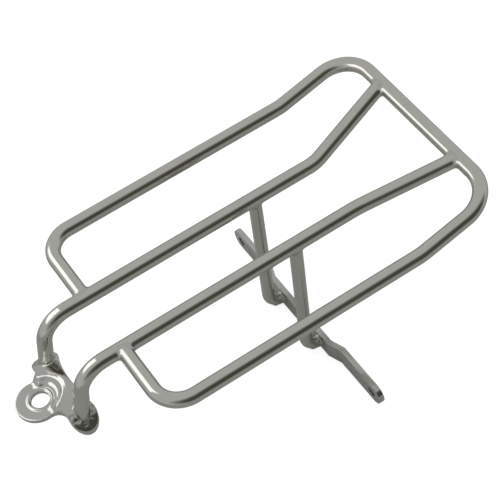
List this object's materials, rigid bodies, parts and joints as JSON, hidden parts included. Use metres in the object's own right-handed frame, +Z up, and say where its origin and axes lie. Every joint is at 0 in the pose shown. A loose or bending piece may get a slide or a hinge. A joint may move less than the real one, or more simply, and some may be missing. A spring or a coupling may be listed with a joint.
{
  "type": "rear luggage rack",
  "caption": "Chromed luggage rack of welded round bar: a kicked-up outer loop, twin inner rails, a bolt-on front plate and struts down to a crossbar with end tabs.",
  "frame": {"origin": "centre of the front bolt hole at the underside of the mounting plate's tongue", "axes": "+X along the rack to its rear, +Y to the rack's right, +Z up, square to the flat deck"},
  "size_m": [0.3974, 0.224, 0.1757],
  "materials": {
    "bar_chrome": "polished chrome plate on steel bar",
    "plate_chrome": "chrome plate on flat bar and pressed plate, slightly less bright",
    "weld_chrome": "chrome plate over dressed weld beads"
  },
  "bodies": {
    "root": {"outer_loop": "bar_chrome", "right_rail": "bar_chrome", "left_rail": "bar_chrome", "mounting_plate": "plate_chrome", "right_strut": "bar_chrome", "left_strut": "bar_chrome", "crossbar": "plate_chrome", "right_return_weld": "weld_chrome", "left_return_weld": "weld_chrome", "right_rear_rail_weld": "weld_chrome", "left_rear_rail_weld": "weld_chrome", "right_strut_top_weld": "weld_chrome", "left_strut_top_weld": "weld_chrome", "right_strut_foot_weld": "weld_chrome", "left_strut_foot_weld": "weld_chrome", "right_leg_weld": "weld_chrome", "left_leg_weld": "weld_chrome"}
  },
  "joints": []
}
